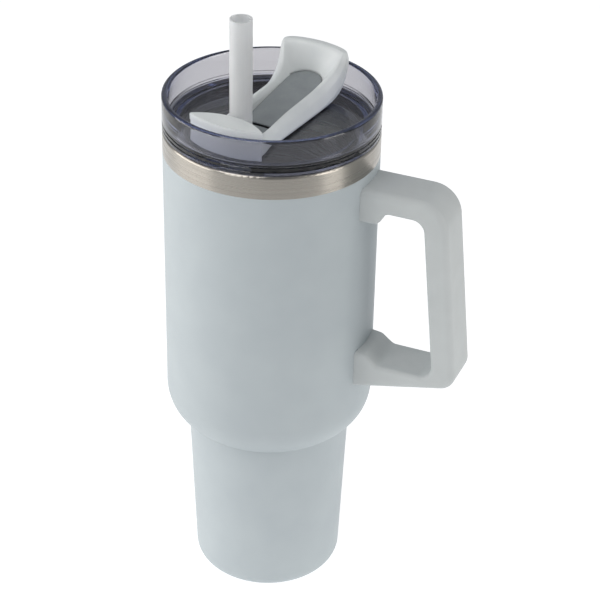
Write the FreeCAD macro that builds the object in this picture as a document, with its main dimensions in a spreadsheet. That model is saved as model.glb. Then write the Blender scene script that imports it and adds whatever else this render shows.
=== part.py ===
import FreeCAD, Part

import math
import os
import re

import Sketcher
from FreeCAD import Placement, Rotation, Vector

# An insulated handled tumbler, in millimetres. The origin is the centre of the base, +Z is up
# and the handle points along +X. Every size below is a cell of the sheet "Sizes".

SIZES = [
    # cup
    ("body_radius", 50, "outside radius of the wide upper barrel"),
    ("foot_radius", 36.39, "outside radius where the lower taper meets the base curl"),
    ("neck_radius", 39.45, "outside radius at the top of the lower taper"),
    ("curl_radius", 7, "base curl"),
    ("neck_height", 87.66, "corner between lower taper and shoulder"),
    ("shoulder_top", 105.4, "height where the shoulder runs into the barrel"),
    ("shoulder_radius", 20.1, "shoulder arc, outside"),
    ("coat_top", 231.3, "top edge of the coated outer shell"),
    ("cup_top", 242.5, "top of the steel mouth"),
    ("mouth_round", 1.2, "outer rounding of the mouth"),
    ("mouth_inner_round", 0.4, "inner rounding of the mouth"),
    ("wall", 0.8, "steel sheet"),
    ("gap", 3, "vacuum space between the two walls"),
    ("floor_height", 9.8, "inside floor of the cup"),
    ("floor_fillet", 6, "inside corner of the cup floor"),
    ("dish_radius", 24, "raised middle of the base disc"),
    ("dish_height", 1.6, "how far the middle of the base disc is raised"),
    ("dish_margin", 0.3, "radial distance from that middle to the step round it"),
    ("dish_slope", 1.2, "radial width of the step"),
    ("dish_shift", 0.4, "radial shift between the step's lower and upper face"),
    ("pad_margin", 0.5, "radial gap round the base pad"),
    ("bead_height", 0.8, "how far the solder bead hangs down"),
    ("bead_taper", 0.8, "how much smaller the bead is at its low end"),
    ("bead_plug", 0.5, "how far the bead fills the evacuation hole"),
    ("pad_skin", 0.6, "thickness of the base pad under the solder bead"),
    ("seal_radius", 3, "solder bead over the evacuation hole"),
    ("evacuation_radius", 0.8, "evacuation hole in the base disc"),
    ("getter_radius", 5, "getter tablet in the vacuum space"),
    ("getter_x", 12, "distance of the tablet from the axis"),
    ("getter_thickness", 1.6, "getter tablet"),
    # handle
    ("handle_half_width", 12, "half the width of the handle"),
    ("handle_round", 3.4, "rounding of the long edges of the handle"),
    ("opening_round", 2, "rounding of the long edges round the opening"),
    ("handle_top", 226.2, "top of the upper arm"),
    ("arm_underside", 215.8, "underside of the upper arm"),
    ("upper_root_low", 209.3, "low edge of the upper root"),
    ("grip_top_x", 88.6, "outer face of the grip at the height of the upper arm"),
    ("grip_low_x", 98.4, "outer face of the grip at the low corner"),
    ("grip_low_z", 131.2, "height of the low outer corner"),
    ("grip_inner_top_x", 78.6, "inner face of the grip at the upper arm"),
    ("grip_inner_low_x", 86.9, "inner face of the grip at the lower arm"),
    ("lower_arm_top", 134.2, "top of the lower arm"),
    ("lower_root_high", 139.8, "high edge of the lower root"),
    ("lower_root_low", 118.6, "low edge of the lower root"),
    ("root_length", 60, "radius where both roots have narrowed to the arms"),
    ("root_start_x", 45, "inner end of the handle's outline, inside the barrel"),
    ("upper_root_x", 57.6, "radius where the upper root starts to narrow"),
    ("upper_root_rise", 0.4, "rise of the upper root's underside up to there"),
    ("lower_root_x", 54, "radius where the lower root starts to narrow"),
    ("lower_root_drop", 1, "fall of the lower root's top down to there"),
    ("seat_low", 100, "low end of the cylinder that cuts the roots to the barrel"),
    ("root_round", 4.2, "rounding where the roots narrow to the arms"),
    ("corner_round", 14, "outer rounding of the upper handle corner"),
    ("low_corner_round", 8, "outer rounding of the lower handle corner"),
    ("inner_corner_round", 6, "rounding of the handle opening"),
    ("cover_half_width", 7.5, "half the width of the inner cover strip"),
    ("cover_thickness", 2, "inner cover strip"),
    ("bracket_reach", 64, "radius that the steel brackets reach to"),
    ("bracket_half_width", 6, "half the width of a bracket"),
    ("bracket_thickness", 4, "bracket tongue"),
    ("upper_bracket_z", 221.5, "middle of the upper bracket"),
    ("lower_bracket_z", 127.6, "middle of the lower bracket"),
    ("screw_radius", 1.9, "handle screw shank"),
    ("screw_x", 59.5, "radius of the handle screws"),
    # lid
    ("lid_base", 242.8, "underside of the lid flange"),
    ("lid_top", 259.5, "top of the clear rim"),
    ("rim_inner_radius", 47.2, "inside of the clear rim"),
    ("lid_floor_top", 246.5, "floor of the recess in the lid"),
    ("lid_floor_low", 244, "underside of that floor"),
    ("skirt_radius", 44.6, "outside of the skirt in the cup's mouth"),
    ("skirt_wall", 2.5, "skirt"),
    ("skirt_low", 231, "low edge of the skirt"),
    ("groove_low", 234, "gasket groove"),
    ("groove_high", 238, "gasket groove"),
    ("groove_depth", 1.5, "gasket groove"),
    ("gasket_margin", 0.3, "gap between the gasket and the groove's ends"),
    ("lip_tip_near", 0.9, "first edge of a gasket lip's tip, from the groove's end"),
    ("lip_tip_far", 1.5, "second edge of that tip"),
    ("lip_root", 1.8, "where the lip meets the gasket's ring"),
    ("flange_round", 0.5, "rounding under the lid flange"),
    ("rim_crown", 1.4, "height of the rounded edge of the rim"),
    ("rim_fullness", 0.5005, "radius of that edge over the rim's thickness"),
    ("recess_round", 1.5, "rounding between the recess floor and the rim"),
    ("seam_height", 244.7, "lower groove round the outside of the lid"),
    ("upper_seam_height", 248.8, "upper groove round the outside of the lid"),
    ("seam_depth", 0.4, "depth of both grooves"),
    ("fit_clearance", 0.05, "radial clearance of every running fit"),
    # flip closure and straw, in a frame whose +X points from the straw to the thumb tab
    ("closure_angle", 82.5, "direction of the thumb tab, from the handle"),
    ("block_radius", 43, "outer face of the straw port block"),
    ("block_corner_x", -38.8, "ends of the straw port block"),
    ("block_corner_y", 18.5, "ends of the straw port block"),
    ("block_back_radius", 29.3, "arc of the block's back edge"),
    ("block_top", 260.2, "top of the block"),
    ("block_plate", 2.5, "thickness of the block's top plate"),
    ("block_wall", 1.5, "front wall of the block"),
    ("boss_half_width", 8.1, "middle boss of the block, which holds the hinge pin"),
    ("cheek_inner_y", 16.6, "inside of the block's end cheeks"),
    ("pin_x", -36, "hinge pin axis"),
    ("pin_z", 250, "hinge pin axis"),
    ("pin_radius", 1.2, "hinge pin"),
    ("pin_half_length", 13, "hinge pin"),
    ("arm_inner_y", 8.4, "inside of the lever's rails"),
    ("arm_outer_y", 16.2, "outside of the lever's rails at the lid floor"),
    ("knuckle_radius", 3, "round front end of the lever's rails about the pin"),
    ("knuckle_outer_y", 13, "outside of the lever's hinge knuckles"),
    ("lever_low", 247, "underside of the lever"),
    ("rail_slope", 1.2, "rise over run of the rails' outer faces"),
    ("bevel_rise", 9, "height of those sloped faces, above the rails' highest crest"),
    ("tab_foot_x", 30.5, "where the rails end and the thumb tab begins"),
    ("rail_foot", 0.5, "how far the sloped faces start below the lever"),
    ("knuckle_end_x", -32, "where the rails reach their full width"),
    ("crest_knuckle_x", -33, "crest of the rails behind the knuckles"),
    ("crest_knuckle_z", 252.3, "crest of the rails behind the knuckles"),
    ("crest_dip_x", -22, "lowest point of the crest"),
    ("crest_dip_z", 251.4, "lowest point of the crest"),
    ("crest_rise_x", -7, "crest beside the tray's front"),
    ("crest_rise_z", 253.7, "crest beside the tray's front"),
    ("crest_middle_x", 11, "middle of the crest"),
    ("crest_middle_z", 254.2, "middle of the crest"),
    ("crest_far_x", 25, "crest near the tab"),
    ("crest_far_z", 254.9, "crest near the tab"),
    ("crest_end_x", 31.5, "where the crest meets the tab"),
    ("crest_end_z", 255.4, "where the crest meets the tab"),
    ("tab_face_x", 33.9, "middle of the tab's front face"),
    ("tab_face_z", 260.3, "middle of the tab's front face"),
    ("tab_front_x", 35.6, "front edge of the tab's top"),
    ("tab_front_drop", 1, "how far that edge lies below the top"),
    ("tab_back_x", 41.6, "back edge of the tab's top"),
    ("tab_end_z", 267.2, "tip of the tab's lip"),
    ("tab_lip_x", 43.8, "low edge of the lip"),
    ("tab_lip_z", 263.9, "low edge of the lip"),
    ("tab_root_x", 34.5, "back of the tab's root"),
    ("tab_root_z", 249.4, "back of the tab's root"),
    ("tray_end_x", 30, "far edge of the lever's underside"),
    ("tab_side_x", 35, "where the tab's corners begin"),
    ("tab_corner_in", 1.2, "first narrowing at a corner of the tab"),
    ("tab_corner_out", 2, "length of the corner"),
    ("tab_corner_full", 3.4, "full narrowing at the corner"),
    ("tab_back_radius", 38, "curve of the tab's far edge"),
    ("scoop_height", 17, "length of the cone that hollows the tab"),
    ("scoop_taper", 2.6, "how much narrower the cone is at its high end"),
    ("scoop_rise", 5, "start of the cone above the panel height"),
    ("scoop_lean", 20, "lean of the cone, in degrees"),
    ("tray_front_x", -2.5, "front edge of the tray between the rails"),
    ("panel_front_x", -10, "front edge of the soft panel"),
    ("panel_end_x", 36.2, "rounded end of the soft panel"),
    ("panel_thickness", 1.2, "soft panel"),
    ("panel_height", 249.19, "panel surface above the cup axis"),
    ("panel_rise", 0.158, "rise of the panel surface per millimetre"),
    ("tab_end_x", 43.9, "far edge of the thumb tab"),
    ("tab_corner_x", 38.5, "rounded corners of the thumb tab"),
    ("tab_top", 269.4, "top of the thumb tab"),
    ("sip_x", 27, "sip hole"),
    ("sip_radius", 5.5, "sip hole"),
    ("plug_radius", 5, "plug under the lever"),
    ("plug_low", 244.8, "low end of the plug"),
    ("plug_flange_radius", 7, "sealing flange of the plug"),
    ("straw_x", -26.5, "straw axis"),
    ("straw_radius", 5.1, "outside of the straw"),
    ("straw_wall", 0.9, "wall of the straw"),
    ("straw_low", 18, "low end of the straw"),
    ("straw_top", 304.5, "top of the straw"),
    ("port_radius", 7, "straw hole in the lid floor"),
    ("grommet_flange_radius", 8, "flange of the straw grommet"),
    ("grommet_flange", 0.8, "thickness of that flange"),
    ("grommet_low", 241.5, "low end of the straw grommet"),
    ("grommet_pad_x", -12, "end of the grommet's flat tongue"),
]

doc = FreeCAD.newDocument("InsulatedTumbler")
sheet = doc.addObject("Spreadsheet::Sheet", "Sizes")
for row, (alias, value, note) in enumerate(SIZES, 1):
    sheet.set(f"A{row}", note)
    sheet.set(f"B{row}", str(value))
    sheet.setAlias(f"B{row}", alias)
doc.recompute()

UP = Vector(0, 0, 1)
SIDEWAYS = Rotation(Vector(1, 0, 0), -90)      # turns a cylinder's axis from Z to Y
ORIGIN_TO_XZ = Rotation(Vector(1, 0, 0), 90)   # turns a sketch from XY to XZ
ORIGIN_TO_YZ = Rotation(Vector(1, 1, 1), 120)  # turns a sketch from XY to YZ


def linked(formula):
    """A formula of sheet aliases as an expression that other objects can use."""
    return re.sub(r"\b(?!sqrt\b|sin\b|cos\b|tan\b|deg\b)([a-z_]{3,})\b", r"Sizes.\1", formula)


def number(formula):
    """The present value of a formula of sheet aliases."""
    return float(sheet.evalExpression(formula))


def pin_corner(sketch, geometry, end, formula, direction):
    """Fix one coordinate of a sketch corner, bound to the sheet."""
    if formula == "0":
        axis = -2 if direction == "DistanceX" else -1
        sketch.addConstraint(Sketcher.Constraint("PointOnObject", geometry, end, axis))
        return
    index = sketch.addConstraint(
        Sketcher.Constraint(direction, geometry, end, number(formula)))
    sketch.setExpression(f"Constraints[{index}]", linked(formula))


def outline(sketch, corners):
    """Draw a closed outline. A corner is (x, y) or (x, y, radius): with a radius, the edge that
    leaves the corner is an arc, turning left for a positive radius and right for a negative."""
    points = [Vector(number(corner[0]), number(corner[1]), 0) for corner in corners]
    starts, ends = [], []
    for index, corner in enumerate(corners):
        here = points[index]
        there = points[(index + 1) % len(points)]
        if len(corner) == 2:
            sketch.addGeometry(Part.LineSegment(here, there))
            starts.append(1)
            ends.append(2)
            continue
        radius = number(corner[2])
        chord = there - here
        left = Vector(-chord.y, chord.x, 0).normalize()
        reach = math.sqrt(radius ** 2 - (chord.Length / 2) ** 2)
        centre = (here + there) * 0.5 + left * math.copysign(reach, radius)
        first, last = (here, there) if radius > 0 else (there, here)
        angles = [math.atan2(point.y - centre.y, point.x - centre.x) for point in (first, last)]
        circle = Part.Circle(centre, UP, abs(radius))
        sketch.addGeometry(Part.ArcOfCircle(circle, angles[0], angles[1]))
        starts.append(1 if radius > 0 else 2)
        ends.append(2 if radius > 0 else 1)
        size = sketch.addConstraint(Sketcher.Constraint("Radius", index, abs(radius)))
        sketch.setExpression(f"Constraints[{size}]", linked(corner[2].lstrip("-")))
    for index, corner in enumerate(corners):
        before = index - 1 if index else len(corners) - 1
        sketch.addConstraint(
            Sketcher.Constraint("Coincident", before, ends[before], index, starts[index]))
        pin_corner(sketch, index, starts[index], corner[0], "DistanceX")
        pin_corner(sketch, index, starts[index], corner[1], "DistanceY")


def body_sketch(body, role, name):
    """A sketch on one of the body's own origin planes."""
    sketch = body.newObject("Sketcher::SketchObject", name)
    plane = next(item for item in body.Origin.OriginFeatures if item.Role == role)
    sketch.AttachmentSupport = [(plane, "")]
    sketch.MapMode = "FlatFace"
    return sketch


def turned_body(name, corners):
    """A body of revolution about Z from its half section."""
    body = doc.addObject("PartDesign::Body", name)
    sketch = body_sketch(body, "XZ_Plane", name + "_section")
    outline(sketch, corners)
    turn = body.newObject("PartDesign::Revolution", name + "_turn")
    turn.Profile = sketch
    turn.ReferenceAxis = (sketch, ["V_Axis"])
    turn.Angle = 360
    body.Tip = turn
    body.Label = name
    return body


def side_extrusion(name, corners, half_width):
    """An outline in the XZ plane, extruded both ways along Y."""
    sketch = doc.addObject("Sketcher::SketchObject", name + "_outline")
    sketch.Placement = Placement(Vector(0, 0, 0), ORIGIN_TO_XZ)
    outline(sketch, corners)
    solid = doc.addObject("Part::Extrusion", name)
    solid.Base = sketch
    solid.DirMode = "Custom"
    solid.Dir = Vector(0, 1, 0)
    solid.Symmetric = True
    solid.Solid = True
    solid.setExpression("LengthFwd", linked(f"2 * ({half_width})"))
    return solid


def plan_extrusion(name, corners, low, high):
    """An outline in the XY plane, extruded from one height to another."""
    sketch = doc.addObject("Sketcher::SketchObject", name + "_outline")
    outline(sketch, corners)
    sketch.setExpression("Placement.Base.z", linked(low))
    solid = doc.addObject("Part::Extrusion", name)
    solid.Base = sketch
    solid.DirMode = "Custom"
    solid.Dir = UP
    solid.Solid = True
    solid.setExpression("LengthFwd", linked(f"({high}) - ({low})"))
    return solid


def rod(name, radius, low, high, x="0", y="0", along_y=False):
    """A cylinder along Z from low to high, or along Y between two Y values."""
    solid = doc.addObject("Part::Cylinder", name)
    solid.setExpression("Radius", linked(radius))
    solid.setExpression("Height", linked(f"({high}) - ({low})"))
    if along_y:
        solid.Placement = Placement(Vector(0, 0, 0), SIDEWAYS)
        solid.setExpression("Placement.Base.x", linked(x))
        solid.setExpression("Placement.Base.y", linked(low))
        solid.setExpression("Placement.Base.z", linked(y))
    else:
        solid.setExpression("Placement.Base.x", linked(x))
        solid.setExpression("Placement.Base.y", linked(y))
        solid.setExpression("Placement.Base.z", linked(low))
    return solid


def brick(name, low, high):
    """A box between two corners, each three formulas."""
    solid = doc.addObject("Part::Box", name)
    for axis, side, start, end in zip("xyz", ("Length", "Width", "Height"), low, high):
        solid.setExpression(side, linked(f"({end}) - ({start})"))
        solid.setExpression("Placement.Base." + axis, linked(start))
    return solid


def joined(name, solids):
    """One solid from several that touch or overlap."""
    result = doc.addObject("Part::MultiFuse", name)
    result.Shapes = solids
    result.Refine = True
    return result


def shared(name, solids):
    """What several solids have in common."""
    result = doc.addObject("Part::MultiCommon", name)
    result.Shapes = solids
    return result


def cut(name, solid, tool):
    """A solid with a tool taken away."""
    result = doc.addObject("Part::Cut", name)
    result.Base = solid
    result.Tool = tool
    result.Refine = True
    return result


def turn_to_closure(solid):
    """Turn a finished piece from the closure's own frame to its place on the lid."""
    solid.Placement = Placement(Vector(0, 0, 0), Rotation(UP, number("closure_angle")))
    return solid


# ---- cup ----------------------------------------------------------------------------------------

# Where the offset walls meet the taper: the shoulder arc keeps its centre, the taper moves in.
ARC_X = "(body_radius - shoulder_radius)"


def corner_height(inset):
    """Height of the neck corner on a wall that lies inset from the outside."""
    return (f"shoulder_top - sqrt((shoulder_radius - {inset}) ^ 2"
            f" - (neck_radius - {inset} - {ARC_X}) ^ 2)")


def make_foot_shell():
    """Coated outer foot: base curl, taper and shoulder, pressed in one and welded to the barrel."""
    return turned_body("foot_shell", [
        ("foot_radius - curl_radius", "0", "curl_radius"),
        ("foot_radius", "curl_radius"),
        ("neck_radius", "neck_height", "shoulder_radius"),
        ("body_radius", "shoulder_top"),
        ("body_radius - wall", "shoulder_top", "-(shoulder_radius - wall)"),
        ("neck_radius - wall", corner_height("wall")),
        ("foot_radius - wall", "curl_radius", "-(curl_radius - wall)"),
        ("foot_radius - curl_radius", "wall")])


def make_barrel_shell():
    """Coated outer barrel, a plain tube from the shoulder to the bare band."""
    return turned_body("barrel_shell", [
        ("body_radius - wall", "shoulder_top"),
        ("body_radius", "shoulder_top"),
        ("body_radius", "coat_top"),
        ("body_radius - wall", "coat_top")])


LINER_INSET = "(2 * wall + gap)"


def make_liner_foot():
    """Steel liner's lower part: floor, taper and shoulder."""
    return turned_body("liner_foot", [
        ("0", "floor_height - wall"),
        (f"foot_radius - {LINER_INSET} - floor_fillet", "floor_height - wall",
         "floor_fillet + wall"),
        (f"foot_radius - {LINER_INSET} + wall", "floor_height + floor_fillet"),
        (f"neck_radius - {LINER_INSET} + wall", corner_height("(wall + gap)"),
         "shoulder_radius - wall - gap"),
        ("body_radius - wall - gap", "shoulder_top"),
        (f"body_radius - {LINER_INSET}", "shoulder_top", "-(shoulder_radius - 2 * wall - gap)"),
        (f"neck_radius - {LINER_INSET}", corner_height(LINER_INSET)),
        (f"foot_radius - {LINER_INSET}", "floor_height + floor_fillet", "-floor_fillet"),
        (f"foot_radius - {LINER_INSET} - floor_fillet", "floor_height"),
        ("0", "floor_height")])


def make_liner_barrel():
    """Steel liner's tube, its mouth folded out and down as the bare band above the coating."""
    return turned_body("liner_barrel", [
        ("body_radius - wall - gap", "shoulder_top"),
        ("body_radius - wall - gap", "cup_top - wall"),
        ("body_radius - wall", "cup_top - wall"),
        ("body_radius - wall", "coat_top"),
        ("body_radius", "coat_top"),
        ("body_radius", "cup_top - mouth_round", "mouth_round"),
        ("body_radius - mouth_round", "cup_top"),
        (f"body_radius - {LINER_INSET} + mouth_inner_round", "cup_top", "mouth_inner_round"),
        (f"body_radius - {LINER_INSET}", "cup_top - mouth_inner_round"),
        (f"body_radius - {LINER_INSET}", "shoulder_top")])


def make_base_disc():
    """Pressed disc that closes the shell, with the evacuation hole in its raised middle."""
    return turned_body("base_disc", [
        ("evacuation_radius", "dish_height"),
        ("dish_radius + dish_margin", "dish_height"),
        ("dish_radius + dish_margin + dish_slope", "0"),
        ("foot_radius - curl_radius", "0"),
        ("foot_radius - curl_radius", "wall"),
        ("dish_radius + dish_margin + dish_slope + dish_shift", "wall"),
        ("dish_radius + dish_margin + dish_shift", "dish_height + wall"),
        ("evacuation_radius", "dish_height + wall")])


def make_base_pad():
    """Silicone pad in the hollow under the base disc, level with the foot, hollow over the seal."""
    return turned_body("base_pad", [
        ("0", "0"),
        ("dish_radius - pad_margin", "0"),
        ("dish_radius - pad_margin", "dish_height"),
        ("seal_radius + 1", "dish_height"),
        ("seal_radius + 1", "pad_skin"),
        ("0", "pad_skin")])


def make_vacuum_seal():
    """Solder bead that closes the evacuation hole from below."""
    return turned_body("vacuum_seal", [
        ("0", "dish_height - bead_height"),
        ("seal_radius - bead_taper", "dish_height - bead_height"),
        ("seal_radius", "dish_height"),
        ("evacuation_radius", "dish_height"),
        ("evacuation_radius", "dish_height + bead_plug"),
        ("0", "dish_height + bead_plug")])


def make_getter():
    """Tablet on the base disc that keeps the vacuum, beside the evacuation hole."""
    return rod("getter", "getter_radius", "dish_height + wall",
               "dish_height + wall + getter_thickness", x="getter_x")


# ---- handle -------------------------------------------------------------------------------------

def edges_along(shape, axis_name):
    """Names of the straight edges that run along one axis."""
    names = []
    for index, edge in enumerate(shape.Edges, 1):
        if edge.Curve.TypeId != "Part::GeomLine":
            continue
        direction = edge.tangentAt(edge.FirstParameter)
        if abs(getattr(direction, axis_name)) > 0.999:
            names.append((index, edge))
    return names


def is_root_edge(edge):
    """Whether an edge of the flank lies on a root, inside the handle's opening."""
    middle = edge.CenterOfMass
    return (middle.x < number("root_length") + 1.5
            and number("lower_arm_top") - 1 < middle.z < number("arm_underside") + 1)


def faces_opening(edge):
    """Whether an edge of the flank borders the handle's opening."""
    middle = edge.CenterOfMass
    return (middle.x < number("grip_inner_low_x")
            and number("lower_arm_top") - 1 < middle.z < number("arm_underside") + 1)


def round_handle_corners(body, pad):
    """Round the outline's corners, then the long edges on both flanks."""
    corner_rounds = {
        "corner_round": [("grip_top_x", "handle_top")],
        "low_corner_round": [("grip_low_x", "grip_low_z")],
        "inner_corner_round": [("grip_inner_top_x", "arm_underside"),
                               ("grip_inner_low_x", "lower_arm_top")],
        "root_round": [("root_length", "arm_underside"), ("root_length", "lower_arm_top"),
                       ("upper_root_x", "upper_root_low + upper_root_rise"),
                       ("lower_root_x", "lower_root_high - lower_root_drop")],
    }
    feature = pad
    for radius, places in corner_rounds.items():
        names = []
        for index, edge in edges_along(feature.Shape, "y"):
            middle = edge.CenterOfMass
            if any(math.hypot(middle.x - number(x), middle.z - number(z)) < 0.5
                   for x, z in places):
                names.append(f"Edge{index}")
        rounded = body.newObject("PartDesign::Fillet", "round_" + radius)
        rounded.Base = (feature, names)
        rounded.setExpression("Radius", linked(radius))
        body.Tip = rounded
        doc.recompute()
        feature = rounded
    for radius, inner in (("handle_round", False), ("opening_round", True)):
        flank = number("handle_half_width")
        names = [f"Edge{index}" for index, edge in enumerate(feature.Shape.Edges, 1)
                 if abs(abs(edge.CenterOfMass.y) - flank) < 0.01 and edge.BoundBox.XMax > 46
                 and faces_opening(edge) == inner and not is_root_edge(edge)]
        rounded = body.newObject("PartDesign::Fillet", "round_flanks_" + radius)
        rounded.Base = (feature, names)
        rounded.setExpression("Radius", linked(radius))
        body.Tip = rounded
        doc.recompute()
        feature = rounded


def make_handle_blank():
    """The C-shaped grip with its rounded edges, before its roots and pockets are cut."""
    body = doc.addObject("PartDesign::Body", "handle_blank")
    sketch = body_sketch(body, "XZ_Plane", "handle_outline")
    outline(sketch, [
        ("root_start_x", "handle_top"),
        ("grip_top_x", "handle_top"),
        ("grip_low_x", "grip_low_z"),
        ("root_start_x", "lower_root_low"),
        ("root_start_x", "lower_root_high"),
        ("lower_root_x", "lower_root_high - lower_root_drop"),
        ("root_length", "lower_arm_top"),
        ("grip_inner_low_x", "lower_arm_top"),
        ("grip_inner_top_x", "arm_underside"),
        ("root_length", "arm_underside"),
        ("upper_root_x", "upper_root_low + upper_root_rise"),
        ("root_start_x", "upper_root_low")])
    pad = body.newObject("PartDesign::Pad", "handle_pad")
    pad.Profile = sketch
    pad.SideType = "Symmetric"
    pad.setExpression("Length", linked("2 * handle_half_width"))
    body.Tip = pad
    doc.recompute()
    round_handle_corners(body, pad)
    return body


def cover_strip(name):
    """The strip along the inner face of the grip, used as a piece and to cut its channel."""
    return side_extrusion(name, [
        ("root_length + 1", "arm_underside"),
        ("grip_inner_top_x", "arm_underside"),
        ("grip_inner_low_x", "lower_arm_top"),
        ("root_length + 1", "lower_arm_top"),
        ("root_length + 1", "lower_arm_top - cover_thickness"),
        ("grip_inner_low_x + cover_thickness", "lower_arm_top - cover_thickness"),
        ("grip_inner_top_x + cover_thickness", "arm_underside + cover_thickness"),
        ("root_length + 1", "arm_underside + cover_thickness")], "cover_half_width")


def tongue(name, height):
    """A bracket's tongue at one height, still running into the barrel."""
    return brick(name,
                 ("body_radius - 2", "-bracket_half_width", f"{height} - bracket_thickness / 2"),
                 ("bracket_reach", "bracket_half_width", f"{height} + bracket_thickness / 2"))


def make_handle_pieces():
    """Grip with its channel and sockets, cover, two welded brackets and two screws."""
    blank = make_handle_blank()
    tools = [rod("handle_seat", "body_radius", "seat_low", "cup_top"), cover_strip("cover_channel")]
    screws = []
    brackets = []
    for side, height, head_z, way in (
            ("upper", "upper_bracket_z", "arm_underside + cover_thickness", 1),
            ("lower", "lower_bracket_z", "lower_arm_top - cover_thickness", -1)):
        tip_z = f"{height} + {way} * bracket_thickness / 2"
        low, high = (head_z, tip_z) if way > 0 else (tip_z, head_z)
        shank = [rod(f"{side}_{use}", "screw_radius", low, high, x="screw_x")
                 for use in ("screw", "screw_hole", "bracket_hole")]
        screws.append(shank[0])
        tools += [tongue(side + "_socket", height), shank[1]]
        seat = rod(side + "_seat", "body_radius", "seat_low", "cup_top")
        brackets.append(cut(side + "_bracket", tongue(side + "_tongue", height),
                            joined(side + "_bracket_tools", [seat, shank[2]])))
    grip = cut("handle_grip", blank, joined("handle_tools", tools))
    screw_pair = doc.addObject("Part::Compound", "handle_screws")
    screw_pair.Links = screws
    return [grip, cover_strip("handle_inner_cover"), screw_pair] + brackets


# ---- lid ----------------------------------------------------------------------------------------

def make_lid_body():
    """Clear lid: rim, recessed floor and the skirt with its gasket groove."""
    blank = turned_body("lid_blank", [
        ("0", "lid_floor_low"),
        ("skirt_radius - skirt_wall", "lid_floor_low"),
        ("skirt_radius - skirt_wall", "skirt_low"),
        ("skirt_radius", "skirt_low"),
        ("skirt_radius", "groove_low"),
        ("skirt_radius - groove_depth", "groove_low"),
        ("skirt_radius - groove_depth", "groove_high"),
        ("skirt_radius", "groove_high"),
        ("skirt_radius", "lid_base"),
        ("body_radius - flange_round", "lid_base", "flange_round"),
        ("body_radius", "lid_base + flange_round"),
        ("body_radius", "seam_height - seam_depth"),
        ("body_radius - seam_depth", "seam_height"),
        ("body_radius", "seam_height + seam_depth"),
        ("body_radius", "upper_seam_height - seam_depth"),
        ("body_radius - seam_depth", "upper_seam_height"),
        ("body_radius", "upper_seam_height + seam_depth"),
        ("body_radius", "lid_top - rim_crown", "(body_radius - rim_inner_radius) * rim_fullness"),
        ("rim_inner_radius", "lid_top - rim_crown"),
        ("rim_inner_radius", "lid_floor_top + recess_round", "-recess_round"),
        ("rim_inner_radius - recess_round", "lid_floor_top"),
        ("0", "lid_floor_top")])
    holes = joined("lid_holes", [
        rod("straw_hole", "port_radius", "lid_floor_low - 1", "lid_floor_top + 1", x="straw_x"),
        rod("sip_hole", "sip_radius", "lid_floor_low - 1", "lid_floor_top + 1", x="sip_x")])
    return cut("lid_body", blank, turn_to_closure(holes))


def make_lid_gasket():
    """Silicone ring in the groove, with two lips, a running fit in groove and mouth."""
    inner = "skirt_radius - groove_depth + fit_clearance"
    outer = "body_radius - 2 * wall - gap - fit_clearance"
    return turned_body("lid_gasket", [
        (inner, "groove_low + gasket_margin"),
        ("skirt_radius", "groove_low + gasket_margin"),
        (outer, "groove_low + lip_tip_near"),
        (outer, "groove_low + lip_tip_far"),
        ("skirt_radius", "groove_low + lip_root"),
        ("skirt_radius", "groove_high - lip_root"),
        (outer, "groove_high - lip_tip_far"),
        (outer, "groove_high - lip_tip_near"),
        ("skirt_radius", "groove_high - gasket_margin"),
        (inner, "groove_high - gasket_margin")])


# ---- flip closure and straw ---------------------------------------------------------------------

def block_plan(name, low, high):
    """Lens-shaped plan of the straw port block."""
    return plan_extrusion(name, [
        ("block_corner_x", "-block_corner_y", "-block_radius"),
        ("block_corner_x", "block_corner_y", "-block_back_radius")], low, high)


def make_port_block():
    """Fixed block in front of the straw: front wall, middle boss, end cheeks and top plate."""
    inner_wall = rod("block_cavity", "block_radius - block_wall", "lid_floor_top - 1",
                     "block_top - block_plate")
    slots = joined("block_slots", [
        brick(f"block_slot_{side}",
              ("-block_radius", low, "lid_floor_top - 1"),
              ("0", high, "block_top - block_plate"))
        for side, low, high in (("right", "-cheek_inner_y", "-boss_half_width"),
                                ("left", "boss_half_width", "cheek_inner_y"))])
    pin_bore = rod("block_pin_bore", "pin_radius", "-boss_half_width - 1", "boss_half_width + 1",
                   x="pin_x", y="pin_z", along_y=True)
    plan = block_plan("block_plan", "lid_floor_top", "block_top")
    hollow = cut("block_hollow", plan, shared("block_room", [slots, inner_wall]))
    return cut("straw_port_block", hollow, pin_bore)


def make_hinge_pin():
    """Steel pin through the boss, its two ends in the lever's knuckles."""
    pin = doc.addObject("Part::Compound", "hinge_pin")
    pin.Links = [rod("pin_rod", "pin_radius", "-pin_half_length", "pin_half_length",
                     x="pin_x", y="pin_z", along_y=True)]
    return pin


def make_straw_grommet():
    """Silicone sleeve round the straw, with a flange and a flat tongue on the lid floor."""
    sleeve = rod("grommet_sleeve", "port_radius", "grommet_low", "lid_floor_top + grommet_flange",
                 x="straw_x")
    flange = rod("grommet_disc", "grommet_flange_radius", "lid_floor_top",
                 "lid_floor_top + grommet_flange", x="straw_x")
    flat = brick("grommet_tongue", ("straw_x", "-grommet_flange_radius", "lid_floor_top"),
                 ("grommet_pad_x", "grommet_flange_radius", "lid_floor_top + grommet_flange"))
    bore = rod("grommet_bore", "straw_radius + fit_clearance", "grommet_low - 1",
               "lid_floor_top + 2", x="straw_x")
    room = block_plan("grommet_room", "lid_floor_top", "block_top")
    return cut("straw_grommet", joined("grommet_blank", [sleeve, flange, flat]),
               joined("grommet_tools", [bore, room]))


def make_straw():
    """Straight straw through the grommet, down almost to the cup floor."""
    return cut("straw", rod("straw_outside", "straw_radius", "straw_low", "straw_top", x="straw_x"),
               rod("straw_bore", "straw_radius - straw_wall", "straw_low - 1", "straw_top + 1",
                   x="straw_x"))


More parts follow.
